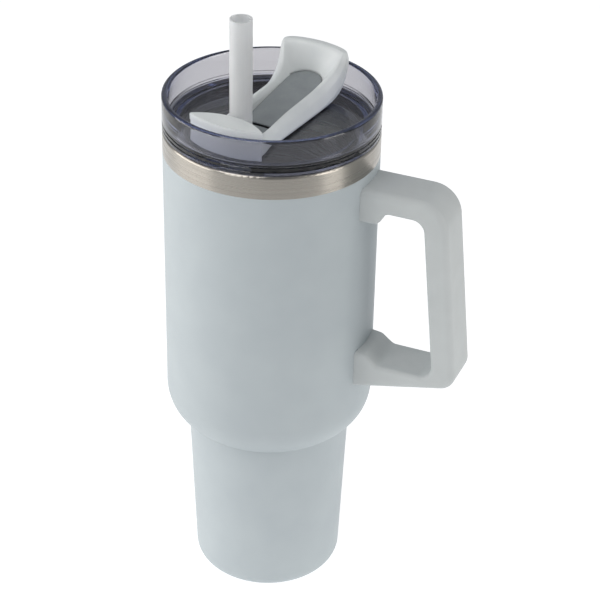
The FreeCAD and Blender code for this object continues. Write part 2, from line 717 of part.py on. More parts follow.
def panel_plan(name, low, high):
    """Plan of the soft panel, with its round end under the thumb tab."""
    return plan_extrusion(name, [
        ("panel_front_x", "-arm_inner_y"),
        ("panel_end_x - arm_inner_y", "-arm_inner_y", "arm_inner_y * 1.0001"),
        ("panel_end_x - arm_inner_y", "arm_inner_y"),
        ("panel_front_x", "arm_inner_y")], low, high)


def panel_edge(x, below):
    """Height of the panel's surface at x, less a thickness."""
    return f"panel_height + panel_rise * ({x}) - {below}"


def make_lever_frame():
    """Forked flip lever: knuckles, two rails, the tray between them and the thumb tab."""
    side = side_extrusion("lever_side", [
        ("pin_x", "pin_z - knuckle_radius"),
        ("tray_end_x", "lever_low"),
        ("tab_root_x", "tab_root_z"),
        ("tab_lip_x", "tab_lip_z"),
        ("tab_end_x", "tab_end_z"),
        ("tab_back_x", "tab_top"),
        ("tab_front_x", "tab_top - tab_front_drop"),
        ("tab_face_x", "tab_face_z"),
        ("crest_end_x", "crest_end_z"),
        ("crest_far_x", "crest_far_z"),
        ("crest_middle_x", "crest_middle_z"),
        ("crest_rise_x", "crest_rise_z"),
        ("crest_dip_x", "crest_dip_z"),
        ("crest_knuckle_x", "crest_knuckle_z"),
        ("pin_x", "pin_z + knuckle_radius", "knuckle_radius * 1.0001")], "block_radius")
    plan = plan_extrusion("lever_plan", [
        ("pin_x - knuckle_radius - 1", "-knuckle_outer_y"),
        ("pin_x", "-knuckle_outer_y"),
        ("knuckle_end_x", "-arm_outer_y"),
        ("tab_side_x", "-arm_outer_y"),
        ("tab_corner_x", "-arm_outer_y + tab_corner_in"),
        ("tab_corner_x + tab_corner_out", "-arm_outer_y + tab_corner_full", "tab_back_radius"),
        ("tab_corner_x + tab_corner_out", "arm_outer_y - tab_corner_full"),
        ("tab_corner_x", "arm_outer_y - tab_corner_in"),
        ("tab_side_x", "arm_outer_y"),
        ("knuckle_end_x", "arm_outer_y"),
        ("pin_x", "knuckle_outer_y"),
        ("pin_x - knuckle_radius - 1", "knuckle_outer_y")], "lever_low - 1", "tab_top + 1")
    blank = shared("lever_blank", [side, plan])
    tools = [
        brick("lever_fork", ("-block_radius", "-arm_inner_y", "lever_low - 1"),
              ("tray_front_x", "arm_inner_y", "tab_top")),
        rod("lever_pin_bore", "pin_radius + fit_clearance", "-block_radius", "block_radius",
            x="pin_x", y="pin_z", along_y=True),
        make_panel_room(), make_thumb_scoop()]
    for side_name, sign in (("right", "-"), ("left", "")):
        tools.append(rail_bevel(f"lever_bevel_{side_name}", sign))
    return cut("lever_frame", blank, joined("lever_tools", tools))


def rail_bevel(name, sign):
    """What lies outside the sloped outer face of one rail, along its whole length."""
    sketch = doc.addObject("Sketcher::SketchObject", name + "_outline")
    sketch.Placement = Placement(Vector(-number("block_radius"), 0, 0), ORIGIN_TO_YZ)
    slope_foot = f"{sign}(arm_outer_y + rail_foot / rail_slope)"
    corners = [
        (slope_foot, "lever_low - rail_foot"),
        (f"{sign}block_radius", "lever_low - rail_foot"),
        (f"{sign}block_radius", "lever_low + bevel_rise"),
        (f"{sign}(arm_outer_y - bevel_rise / rail_slope)", "lever_low + bevel_rise")]
    outline(sketch, corners)
    solid = doc.addObject("Part::Extrusion", name)
    solid.Base = sketch
    solid.DirMode = "Custom"
    solid.Dir = Vector(1, 0, 0)
    solid.Solid = True
    solid.setExpression("LengthFwd", linked("block_radius + tab_foot_x"))
    return solid


def make_panel_room():
    """Everything above the underside of the panel, within the panel's plan."""
    above = side_extrusion("room_side", [
        ("panel_front_x", panel_edge("panel_front_x", "panel_thickness")),
        ("panel_end_x", panel_edge("panel_end_x", "panel_thickness")),
        ("panel_end_x", "tab_top + 1"),
        ("panel_front_x", "tab_top + 1")], "arm_inner_y")
    return shared("panel_room", [above, panel_plan("room_plan", "lever_low - 2", "tab_top + 2")])


def make_thumb_scoop():
    """Leaning cone that hollows the inner face of the thumb tab above the panel's end."""
    scoop = doc.addObject("Part::Cone", "thumb_scoop")
    scoop.setExpression("Radius1", linked("arm_inner_y"))
    scoop.setExpression("Radius2", linked("arm_inner_y - scoop_taper"))
    scoop.setExpression("Height", linked("scoop_height"))
    scoop.Placement = Placement(
        Vector(number("panel_end_x - arm_inner_y"), 0, number("panel_height + scoop_rise")),
        Rotation(Vector(0, 1, 0), number("scoop_lean")))
    return scoop


def make_lever_panel():
    """Soft grey panel between the rails."""
    slab = side_extrusion("panel_slab", [
        ("panel_front_x", "lever_low + 0.1"),
        ("tray_front_x - 2", "lever_low + 0.1"),
        ("panel_end_x", panel_edge("panel_end_x", "panel_thickness")),
        ("panel_end_x", panel_edge("panel_end_x", "0")),
        ("panel_front_x", panel_edge("panel_front_x", "0"))], "arm_inner_y")
    room = make_panel_room()
    return shared("lever_panel", [slab, room])


def make_sip_plug():
    """Silicone plug and its flange under the lever, over the sip hole."""
    stem = doc.addObject("Part::Cone", "plug_stem")
    stem.setExpression("Radius1", linked("plug_radius - 0.8"))
    stem.setExpression("Radius2", linked("plug_radius"))
    stem.setExpression("Height", linked("lever_low - plug_low"))
    stem.setExpression("Placement.Base.x", linked("sip_x"))
    stem.setExpression("Placement.Base.z", linked("plug_low"))
    flange = rod("plug_flange", "plug_flange_radius", "lid_floor_top + 0.3", "lever_low", x="sip_x")
    return joined("sip_plug", [stem, flange])


# ---- build, check and write ---------------------------------------------------------------------

pieces = [
    make_foot_shell(), make_barrel_shell(), make_liner_foot(), make_liner_barrel(),
    make_base_disc(), make_base_pad(), make_vacuum_seal(), make_getter(), make_lid_body(),
    make_lid_gasket()]
pieces += make_handle_pieces()
closure = [
    make_port_block(), make_hinge_pin(), make_straw_grommet(), make_straw(),
    make_lever_frame(), make_lever_panel(), make_sip_plug()]
doc.recompute()
pieces += [turn_to_closure(piece) for piece in closure]
doc.recompute()

for item in doc.Objects:
    if "Invalid" in item.State or "Error" in item.State:
        raise SystemExit(f"{item.Name} did not build: {item.State}")

os.makedirs("parts", exist_ok=True)
for piece in pieces:
    piece.Label = piece.Name
    shape = piece.Shape
    if shape.isNull() or not shape.isValid():
        raise SystemExit(f"{piece.Label} has no valid shape")
    shape.exportStep(f"parts/{piece.Label}.step")
    print(f"{piece.Label}: {len(shape.Solids)} solid(s), {shape.Volume / 1000:.2f} cm3")
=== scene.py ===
import math

import bpy
from mathutils import Matrix, Vector


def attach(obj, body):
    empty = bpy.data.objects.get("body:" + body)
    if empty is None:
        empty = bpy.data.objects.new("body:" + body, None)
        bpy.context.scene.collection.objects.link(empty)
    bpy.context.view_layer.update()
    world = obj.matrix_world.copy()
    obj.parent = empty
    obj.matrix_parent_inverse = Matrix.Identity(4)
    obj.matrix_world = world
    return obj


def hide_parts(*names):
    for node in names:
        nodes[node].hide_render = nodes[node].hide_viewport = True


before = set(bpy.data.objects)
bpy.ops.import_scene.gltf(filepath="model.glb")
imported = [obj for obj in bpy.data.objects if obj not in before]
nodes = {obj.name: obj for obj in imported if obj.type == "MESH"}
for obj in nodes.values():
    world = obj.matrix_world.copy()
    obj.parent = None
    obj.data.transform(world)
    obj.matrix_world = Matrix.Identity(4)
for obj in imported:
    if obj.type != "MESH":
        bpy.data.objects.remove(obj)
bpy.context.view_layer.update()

scene = bpy.context.scene
scene.view_settings.view_transform = "Standard"


# ---- studio -------------------------------------------------------------------------------------
# A pale floor whose own emission paints a pool of light on it, brightest around and behind the cup
# and falling off towards the viewer, with a soft box at either side and one above. The cup's left
# edge is its lightest part.

def linear(hex_code):
    """An sRGB hex colour as linear red, green, blue and alpha."""
    channels = [int(hex_code[i:i + 2], 16) / 255 for i in (1, 3, 5)]
    return [c / 12.92 if c <= 0.04045 else ((c + 0.055) / 1.055) ** 2.4 for c in channels] + [1]


def add_node(tree, kind, settings=None, links=None):
    """Add one node. A setting is an input's value by its name or number, or a property of the
    node; a link feeds an input, by its name or number, from an output."""
    made = tree.nodes.new(kind)
    for name, value in (settings or {}).items():
        if isinstance(name, int) or name in made.inputs:
            made.inputs[name].default_value = value
        else:
            setattr(made, name, value)
    for name, output in (links or {}).items():
        tree.links.new(output, made.inputs[name])
    return made


def new_material(name, **shader_values):
    """A material with its tree and its Principled shader, whose sockets take the values."""
    material = bpy.data.materials.new(name)
    material.use_nodes = True
    shader = material.node_tree.nodes["Principled BSDF"]
    for socket, value in shader_values.items():
        shader.inputs[socket.replace("_", " ")].default_value = value
    return material, material.node_tree, shader


def feed(tree, shader, socket, output):
    """Link an output into one of the shader's sockets."""
    tree.links.new(output, shader.inputs[socket])


def object_place(tree):
    """The piece's own coordinates, in metres."""
    return add_node(tree, "ShaderNodeTexCoord").outputs["Object"]


def deselect():
    """Leave nothing selected."""
    bpy.ops.object.select_all(action="DESELECT")


FLOOR_SIZE, FLOOR_PLACE = 12, (0, 1.5, -0.0002)   # metres; a hair below the cup
deselect()
bpy.ops.mesh.primitive_plane_add(size=FLOOR_SIZE, location=FLOOR_PLACE)
floor = bpy.context.object
floor.name = "studio_floor"
glowing_floor_paint, tree, shader = new_material("floor_with_painted_glow", Base_Color=linear("#b6b8ba"),
                                   Roughness=0.9, Emission_Color=linear("#ffffff"))
place = object_place(tree)
PAINTED_GLOW_PATCH = 1.05                # metres from the middle of the painted glowing patch to where it ends
PATCH_SHIFT = (0.15, 1.15, 0)   # puts that middle behind the cup, in patch lengths
centred = add_node(tree, "ShaderNodeMapping",
                   {"Location": PATCH_SHIFT, "Scale": (1 / PAINTED_GLOW_PATCH,) * 3}, {0: place})
glow = add_node(tree, "ShaderNodeTexGradient", {"gradient_type": "SPHERICAL"},
                {0: centred.outputs[0]})
strength = add_node(tree, "ShaderNodeMapRange",
                    {"From Min": 0.16, "From Max": 0.53, "To Min": 0.2, "To Max": 0.78},
                    {"Value": glow.outputs["Fac"]})
# Painted light: the floor glows, strongest in a patch behind the cup and dimmer towards the viewer.
feed(tree, shader, "Emission Strength", strength.outputs[0])
floor.data.materials.append(glowing_floor_paint)

world = bpy.data.worlds.new("studio_air")
scene.world = world
world.use_nodes = True
air = world.node_tree
background = air.nodes["Background"]
background.inputs["Color"].default_value = linear("#eef1f4")
direction = add_node(air, "ShaderNodeTexCoord").outputs["Generated"]
depth = add_node(air, "ShaderNodeSeparateXYZ", links={0: direction}).outputs["Y"]
brightness = add_node(air, "ShaderNodeMapRange",
                      {"From Min": -0.9, "From Max": 0.9, "To Min": 0.2, "To Max": 0.62},
                      {"Value": depth})
air.links.new(brightness.outputs[0], background.inputs["Strength"])

LAMP_AIM = Vector((0, 0, 0.16))   # just above the middle of the cup


def soft_box(name, place, width, height, power, hex_code):
    """An area light that faces the cup."""
    bpy.ops.object.light_add(type="AREA", location=place)
    lamp = bpy.context.object
    lamp.name = name
    lamp.data.shape = "RECTANGLE"
    lamp.data.size = width
    lamp.data.size_y = height
    lamp.data.energy = power
    lamp.data.color = linear(hex_code)[:3]
    lamp.rotation_euler = (LAMP_AIM - Vector(place)).to_track_quat("-Z", "Y").to_euler()


soft_box("left_box", (-0.86, -0.48, 0.32), 0.9, 0.6, 5.6, "#fffcf8")
soft_box("right_box", (0.95, -0.06, 0.35), 0.4, 0.6, 2.9, "#fffcf8")
soft_box("top_box", (-0.2, -0.7, 1.0), 0.7, 0.7, 4.6, "#ffffff")

CAMERA_PLACE = (0.3134, -0.7191, 0.6360)
CAMERA_LENS, SENSOR_WIDTH = 115.34, 36   # millimetres
CAMERA_TILT = math.radians(31.82)
CAMERA_HEADING = math.radians(22.5)
CAMERA_ROLL = math.radians(1.15)
bpy.ops.object.camera_add(location=CAMERA_PLACE)
camera = bpy.context.object
camera.data.sensor_width = SENSOR_WIDTH
camera.data.lens = CAMERA_LENS
camera.rotation_euler = (Matrix.Rotation(CAMERA_HEADING, 3, "Z")
                         @ Matrix.Rotation(math.pi / 2 - CAMERA_TILT, 3, "X")
                         @ Matrix.Rotation(CAMERA_ROLL, 3, "Z")).to_euler()
scene.camera = camera


# ---- coated shell: foot_shell and barrel_shell --------------------------------------------------
# Stainless sheet under a matt polyester powder coat, sprayed dry and baked. The powder flows into
# a fine orange peel of low bumps, with a faint unevenness of tone.

def dress(name, material):
    """Give a CAD node one material."""
    piece = nodes[name]
    if not piece.material_slots:
        piece.data.materials.append(material)
    for slot in piece.material_slots:
        slot.material = material


def grain(tree, place, size_mm, detail=3.0):
    """Noise whose cells are about one size across."""
    return add_node(tree, "ShaderNodeTexNoise", {"Scale": 1000 / size_mm, "Detail": detail},
                    {"Vector": place}).outputs["Fac"]


def spread(tree, value, low, high):
    """Noise mapped onto a range."""
    return add_node(tree, "ShaderNodeMapRange",
                    {"From Min": 0.25, "From Max": 0.75, "To Min": low, "To Max": high},
                    {"Value": value}).outputs[0]


def bump(tree, shader, height, depth_mm, strength):
    """Raise the surface by a pattern of some depth."""
    raised = add_node(tree, "ShaderNodeBump", {"Strength": strength, "Distance": depth_mm / 1000},
                      {"Height": height})
    feed(tree, shader, "Normal", raised.outputs[0])


def two_tones(tree, shader, value, dark, light):
    """Colour the surface between two hex tones by a pattern."""
    mixed = add_node(tree, "ShaderNodeMix", {"data_type": "RGBA"}, {0: value})
    mixed.inputs[6].default_value = linear(dark)
    mixed.inputs[7].default_value = linear(light)
    feed(tree, shader, "Base Color", mixed.outputs[2])


powder_coat, tree, shader = new_material("powder_coated_steel", IOR=1.5,
                                         Specular_IOR_Level=0.45)
place = object_place(tree)
two_tones(tree, shader, spread(tree, grain(tree, place, 22, 2), 0, 1), "#afb7bb", "#b5bdc0")
feed(tree, shader, "Roughness", spread(tree, grain(tree, place, 1.6), 0.50, 0.60))
bump(tree, shader, grain(tree, place, 0.9, 4), 0.05, 0.35)
for name in ("foot_shell", "barrel_shell"):
    dress(name, powder_coat)


# ---- bare steel: liner, mouth band, base disc ---------------------------------------------------
# 18/8 stainless, turned against an abrasive belt after forming, so fine hairlines run round the
# cup. They stretch reflections up and down and vary slightly in tone from line to line.

def hairlines(tree, place, across_mm, along):
    """Noise drawn out round the cup's axis: thin in height, long round the circumference."""
    parts = add_node(tree, "ShaderNodeSeparateXYZ", links={0: place})
    turn = add_node(tree, "ShaderNodeMath", {"operation": "ARCTAN2"},
                    {0: parts.outputs["Y"], 1: parts.outputs["X"]})
    line = add_node(tree, "ShaderNodeMath", {"operation": "MULTIPLY", 1: 1000 / across_mm},
                    {0: parts.outputs["Z"]})
    along_turn = add_node(tree, "ShaderNodeMath", {"operation": "MULTIPLY", 1: along},
                          {0: turn.outputs[0]})
    radius = add_node(tree, "ShaderNodeVectorMath", {"operation": "LENGTH"},
                      {0: add_node(tree, "ShaderNodeCombineXYZ", links={
                          "X": parts.outputs["X"], "Y": parts.outputs["Y"]}).outputs[0]})
    depth = add_node(tree, "ShaderNodeMath", {"operation": "MULTIPLY", 1: 1000 / across_mm},
                     {0: radius.outputs["Value"]})
    spot = add_node(tree, "ShaderNodeCombineXYZ", links={
        "X": along_turn.outputs[0], "Y": depth.outputs[0], "Z": line.outputs[0]})
    return add_node(tree, "ShaderNodeTexNoise", {"Scale": 1.0, "Detail": 4.0},
                    {"Vector": spot.outputs[0]}).outputs["Fac"]


brushed, tree, shader = new_material("belt_brushed_stainless", Metallic=1.0, Anisotropic=0.85,
                                     Anisotropic_Rotation=0.25)
place = object_place(tree)
lines = hairlines(tree, place, 0.12, 1.0)
two_tones(tree, shader, spread(tree, lines, 0, 1), "#a19c94", "#b3aea6")
feed(tree, shader, "Roughness", spread(tree, hairlines(tree, place, 1.2, 0.5), 0.22, 0.34))
bump(tree, shader, lines, 0.005, 0.2)
for name in ("liner_foot", "liner_barrel", "base_disc"):
    dress(name, brushed)

# ---- hidden metal: brackets, screws, pin, getter, solder ----------------------------------------
# Pressed and turned steel left as it came from the tool, a sintered tablet and a cast bead:
# duller and more even than the brushed cup, with a faint cloudiness.

raw_metal, tree, shader = new_material("raw_pressed_steel", Metallic=1.0)
place = object_place(tree)
two_tones(tree, shader, spread(tree, grain(tree, place, 2.5), 0, 1), "#8d8b88", "#a6a4a1")
feed(tree, shader, "Roughness", spread(tree, grain(tree, place, 0.8), 0.32, 0.5))
for name in ("upper_bracket", "lower_bracket", "handle_screws", "hinge_pin", "getter",
             "vacuum_seal"):
    dress(name, raw_metal)

# ---- handle: grip and inner cover ---------------------------------------------------------------
# Injection-moulded polypropylene from a spark-eroded mould: an even fine matt grain, slightly
# warmer than the coat. The cover strip is the same plastic from a smoother mould.

grip_plastic, tree, shader = new_material("eroded_polypropylene", IOR=1.49,
                                          Specular_IOR_Level=0.4)
place = object_place(tree)
two_tones(tree, shader, spread(tree, grain(tree, place, 14, 2), 0, 1), "#bfc3c3", "#c5c9c9")
feed(tree, shader, "Roughness", spread(tree, grain(tree, place, 1.2), 0.5, 0.62))
bump(tree, shader, grain(tree, place, 0.7, 4), 0.04, 0.4)
dress("handle_grip", grip_plastic)

cover_plastic, tree, shader = new_material("smooth_polypropylene", IOR=1.49,
                                           Specular_IOR_Level=0.4)
place = object_place(tree)
two_tones(tree, shader, spread(tree, grain(tree, place, 9, 2), 0, 1), "#c0c4c4", "#c7caca")
feed(tree, shader, "Roughness", spread(tree, grain(tree, place, 1.5), 0.38, 0.46))
bump(tree, shader, grain(tree, place, 1.1, 2), 0.02, 0.2)
dress("handle_inner_cover", cover_plastic)

# ---- silicone: base pad, gasket, plug, straw grommet, lever panel -------------------------------
# Liquid silicone rubber, pressed: soft matt, a little translucent, with dust-fine texture. The
# seals are milky; the pad, the grommet and the lever's panel are pigmented grey.

milky_silicone, tree, shader = new_material("milky_silicone", IOR=1.41, Subsurface_Weight=0.4,
                                            Subsurface_Scale=0.002,
                                            Subsurface_Radius=(1, 1, 1))
place = object_place(tree)
two_tones(tree, shader, spread(tree, grain(tree, place, 3), 0, 1), "#d0d4d6", "#dadddf")
feed(tree, shader, "Roughness", spread(tree, grain(tree, place, 0.8), 0.48, 0.6))
for name in ("lid_gasket", "sip_plug"):
    dress(name, milky_silicone)

grey_silicone, tree, shader = new_material("grey_silicone", IOR=1.41)
place = object_place(tree)
two_tones(tree, shader, spread(tree, grain(tree, place, 6), 0, 1), "#8a8f92", "#94999b")
feed(tree, shader, "Roughness", spread(tree, grain(tree, place, 0.9), 0.55, 0.68))
bump(tree, shader, grain(tree, place, 0.5, 3), 0.03, 0.3)
for name in ("base_pad", "straw_grommet", "lever_panel"):
    dress(name, grey_silicone)

# ---- lid body -----------------------------------------------------------------------------------
# Clear copolyester, injection-moulded and polished in the tool. Looked through along a wall it is
# blue, looked through across a wall it is faintly smoky, from the dye that hides yellowing.

clear_plastic, tree, shader = new_material("clear_copolyester", Base_Color=linear("#d2cdc8"),
                                           IOR=1.54, Transmission_Weight=1.0)
place = object_place(tree)
feed(tree, shader, "Roughness", spread(tree, grain(tree, place, 12), 0.0, 0.03))
dye = add_node(tree, "ShaderNodeVolumeAbsorption", {"Color": linear("#4583da"), "Density": 75})
tree.links.new(dye.outputs[0], tree.nodes["Material Output"].inputs["Volume"])
# Light from the soft boxes reaches what is inside the lid, only a little dimmed.
clear_shade = add_node(tree, "ShaderNodeBsdfTransparent", {"Color": linear("#f0f1f3")})
is_shadow = add_node(tree, "ShaderNodeLightPath").outputs["Is Shadow Ray"]
lid_surface = add_node(tree, "ShaderNodeMixShader",
                       links={0: is_shadow, 1: shader.outputs[0], 2: clear_shade.outputs[0]})
tree.links.new(lid_surface.outputs[0], tree.nodes["Material Output"].inputs["Surface"])

MM = 0.001
CLOSURE_TURN = math.radians(82.5)   # from the handle to the thumb tab


def finish_piece(piece, name, body):
    """Name a new piece, turn it from the closure's direction, in millimetres, into the model's
    frame and let it ride on its body."""
    piece.name = name
    piece.data.transform(Matrix.Rotation(CLOSURE_TURN, 4, "Z") @ Matrix.Scale(MM, 4))
    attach(piece, body)


def arc(centre, radius, start, end, steps):
    """Points of an arc, its angles in degrees."""
    angles = [math.radians(start + (end - start) * i / steps) for i in range(steps + 1)]
    return [(centre[0] + radius * math.cos(a), centre[1] + radius * math.sin(a)) for a in angles]


def lathe(profile, steps):
    """Draw a profile of radius and height by extruding one point, then spin it round the axis."""
    deselect()
    bpy.ops.mesh.primitive_plane_add(size=1, location=(0, 0, 0))
    turned = bpy.context.object
    bpy.ops.object.mode_set(mode="EDIT")
    bpy.ops.mesh.merge(type="CENTER")
    here = (0, 0)
    for there in profile:
        step = (there[0] - here[0], 0, there[1] - here[1])
        if here == (0, 0):
            bpy.ops.transform.translate(value=step)
        else:
            bpy.ops.mesh.extrude_region_move(TRANSFORM_OT_translate={"value": step})
        here = there
    bpy.ops.mesh.select_all(action="SELECT")
    bpy.ops.mesh.spin(steps=steps, angle=math.tau, center=(0, 0, 0), axis=(0, 0, 1))
    bpy.ops.mesh.select_all(action="SELECT")
    bpy.ops.mesh.remove_doubles(threshold=0.002)
    bpy.ops.mesh.normals_make_consistent(inside=False)
    bpy.ops.object.mode_set(mode="OBJECT")
    return turned


# Radii and heights in millimetres.
AXIS = 0.001
FLOOR_TOP, FLOOR_LOW, FLANGE_LOW = 246.5, 244.0, 242.8
RIM_OUTER, RIM_INNER, RIM_TOP = 50.0, 47.2, 259.5
SKIRT_OUTER, SKIRT_INNER, SKIRT_LOW = 44.6, 42.1, 231.0
SEAT_OUTER, SEAT_LOW, SEAT_TOP = 43.1, 234.0, 238.0   # groove for the gasket
FLANGE_ROUND, RECESS_ROUND = 0.5, 1.5
SEAMS = (244.7, 246.7)                                # fine grooves round the outside
SEAM_DEPTH, SEAM_HALF_WIDTH, SEAM_HALF_BOTTOM = 0.4, 0.45, 0.1
STRAW_PORT, SIP_HOLE = (-26.5, 7.0), (27.0, 5.5)      # place along the closure, and radius
DRILL_LENGTH, DRILL_DROP = 8, 1.2                     # its middle is this far below the floor's top
LID_STEPS, HOLE_STEPS = 192, 64                       # round the circle
LID_CORNER = math.radians(32)                         # a sharper corner stays a corner
rim_round = (RIM_OUTER - RIM_INNER) / 2
outside = []
for seam in SEAMS:
    outside += [(RIM_OUTER, seam - SEAM_HALF_WIDTH),
                (RIM_OUTER - SEAM_DEPTH, seam - SEAM_HALF_BOTTOM),
                (RIM_OUTER - SEAM_DEPTH, seam + SEAM_HALF_BOTTOM),
                (RIM_OUTER, seam + SEAM_HALF_WIDTH)]
lid = lathe([(AXIS, FLOOR_LOW), (SKIRT_INNER, FLOOR_LOW), (SKIRT_INNER, SKIRT_LOW),
             (SKIRT_OUTER, SKIRT_LOW), (SKIRT_OUTER, SEAT_LOW), (SEAT_OUTER, SEAT_LOW),
             (SEAT_OUTER, SEAT_TOP), (SKIRT_OUTER, SEAT_TOP), (SKIRT_OUTER, FLANGE_LOW)]
            + arc((RIM_OUTER - FLANGE_ROUND, FLANGE_LOW + FLANGE_ROUND), FLANGE_ROUND, -90, 0, 4)
            + outside
            + arc((RIM_OUTER - rim_round, RIM_TOP - rim_round), rim_round, 0, 180, 12)
            + arc((RIM_INNER - RECESS_ROUND, FLOOR_TOP + RECESS_ROUND), RECESS_ROUND, 0, -90, 6)
            + [(AXIS, FLOOR_TOP)], LID_STEPS)
for x, radius in (STRAW_PORT, SIP_HOLE):
    deselect()
    bpy.ops.mesh.primitive_cylinder_add(vertices=HOLE_STEPS, radius=radius, depth=DRILL_LENGTH,
                                        location=(x, 0, FLOOR_TOP - DRILL_DROP))
    drill = bpy.context.object
    hole = lid.modifiers.new("hole", "BOOLEAN")
    hole.object = drill
    deselect()
    bpy.context.view_layer.objects.active = lid
    lid.select_set(True)
    bpy.ops.object.modifier_apply(modifier="hole")
    bpy.data.objects.remove(drill)
bpy.ops.object.shade_smooth_by_angle(angle=LID_CORNER)
lid.data.materials.append(clear_plastic)
finish_piece(lid, "clear_lid", "lid")
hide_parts("lid_body")

# ---- straw port block ---------------------------------------------------------------------------
# White polypropylene block, fixed on the lid floor in front of the straw. Over its top lies a
# crowned, lens-shaped cap with softly rounded edges.

white_plastic, tree, shader = new_material("white_polypropylene", IOR=1.49,
                                           Subsurface_Weight=0.15, Subsurface_Scale=0.002,
                                           Subsurface_Radius=(1, 1, 1))
place = object_place(tree)
two_tones(tree, shader, spread(tree, grain(tree, place, 10, 2), 0, 1), "#d6dada", "#dde0e0")
feed(tree, shader, "Roughness", spread(tree, grain(tree, place, 1.4), 0.34, 0.46))
bump(tree, shader, grain(tree, place, 1.0, 3), 0.02, 0.2)
dress("straw_port_block", white_plastic)

CAP_FRONT_RADIUS = 43.15
CAP_BACK_RADIUS = 29.4
CAP_TIP = (-38.9, 18.9)
CAP_LOW, CAP_HIGH = 257.0, 259.7
CAP_CROWN = 0.7
CAP_ROUNDING, CAP_ROUNDED_FROM, CAP_CORNER = 0.45, math.radians(40), math.radians(50)
deselect()
bpy.ops.mesh.primitive_grid_add(x_subdivisions=10, y_subdivisions=40, size=2)
cap = bpy.context.object
back_centre = CAP_TIP[0] - math.sqrt(CAP_BACK_RADIUS ** 2 - CAP_TIP[1] ** 2)
for point in cap.data.vertices:
    across = point.co.y
    y = CAP_TIP[1] * across
    front = -math.sqrt(CAP_FRONT_RADIUS ** 2 - y ** 2)
    back = back_centre + math.sqrt(CAP_BACK_RADIUS ** 2 - y ** 2)
    share = (point.co.x + 1) / 2
    crown = CAP_CROWN * (1 - point.co.x ** 2) * (1 - across ** 2)
    point.co = (front + (back - front) * share, y, CAP_HIGH + crown)
bpy.ops.object.mode_set(mode="EDIT")
bpy.ops.mesh.select_all(action="SELECT")
bpy.ops.mesh.extrude_region_move(TRANSFORM_OT_translate={"value": (0, 0, CAP_LOW - CAP_HIGH)})
bpy.ops.transform.resize(value=(1, 1, 0), center_override=(0, 0, CAP_LOW))
bpy.ops.mesh.select_all(action="SELECT")
bpy.ops.mesh.normals_make_consistent(inside=False)
bpy.ops.object.mode_set(mode="OBJECT")
rounding = cap.modifiers.new("rounding", "BEVEL")
rounding.width = CAP_ROUNDING
rounding.segments = 3
rounding.limit_method = "ANGLE"
rounding.angle_limit = CAP_ROUNDED_FROM
bpy.ops.object.modifier_apply(modifier="rounding")
bpy.ops.object.shade_smooth_by_angle(angle=CAP_CORNER)
cap.data.materials.append(white_plastic)
finish_piece(cap, "straw_port_cap", "lid")

# ---- flip lever ---------------------------------------------------------------------------------
# One white polypropylene moulding: two rails that fork round the straw, rise to a crest each and
# flow into a thumb tab with a dished face. Half of it is drawn by extruding an eight-point ring
# from the hinge knuckle along a rail and round to the middle of the tab, then mirrored.

LEVER_LOW = 247.1
PANEL_FRONT_X = -10.0
PANEL_HALF_WIDTH = 8.5
PANEL_LEVEL, PANEL_RISE = 249.19, 0.158   # height at the cup's axis, and slope
CREST_OUT, SHOULDER_OUT = 1.5, 3.2        # how far outside the panel's edge they lie
SMOOTHING_LEVELS = 3


def panel_height(x):
    """Height of the soft panel's surface."""
    return PANEL_LEVEL + PANEL_RISE * x


def rail_section(x, crest_z, foot_y=16.3, lean=0.0):
    """A rail's section: inner foot, inner slope, crest, shoulder, outer slope, outer foot and
    underside. Lean moves the outer foot along the rail."""
    inner_z = max(LEVER_LOW + 0.3, panel_height(x) - 0.6) if x > PANEL_FRONT_X else LEVER_LOW + 0.3
    return [(x, PANEL_HALF_WIDTH, inner_z),
            (x, PANEL_HALF_WIDTH + 0.25, crest_z - 1.1),
            (x, PANEL_HALF_WIDTH + CREST_OUT, crest_z + 0.1),
            (x, PANEL_HALF_WIDTH + SHOULDER_OUT, crest_z - 0.3),
            (x + lean / 2, (PANEL_HALF_WIDTH + SHOULDER_OUT + foot_y) / 2,
             (crest_z + LEVER_LOW) / 2 + 1),
            (x + lean, foot_y, LEVER_LOW + 0.9),
            (x + lean, foot_y - 0.1, LEVER_LOW),
            (x, PANEL_HALF_WIDTH, LEVER_LOW)]


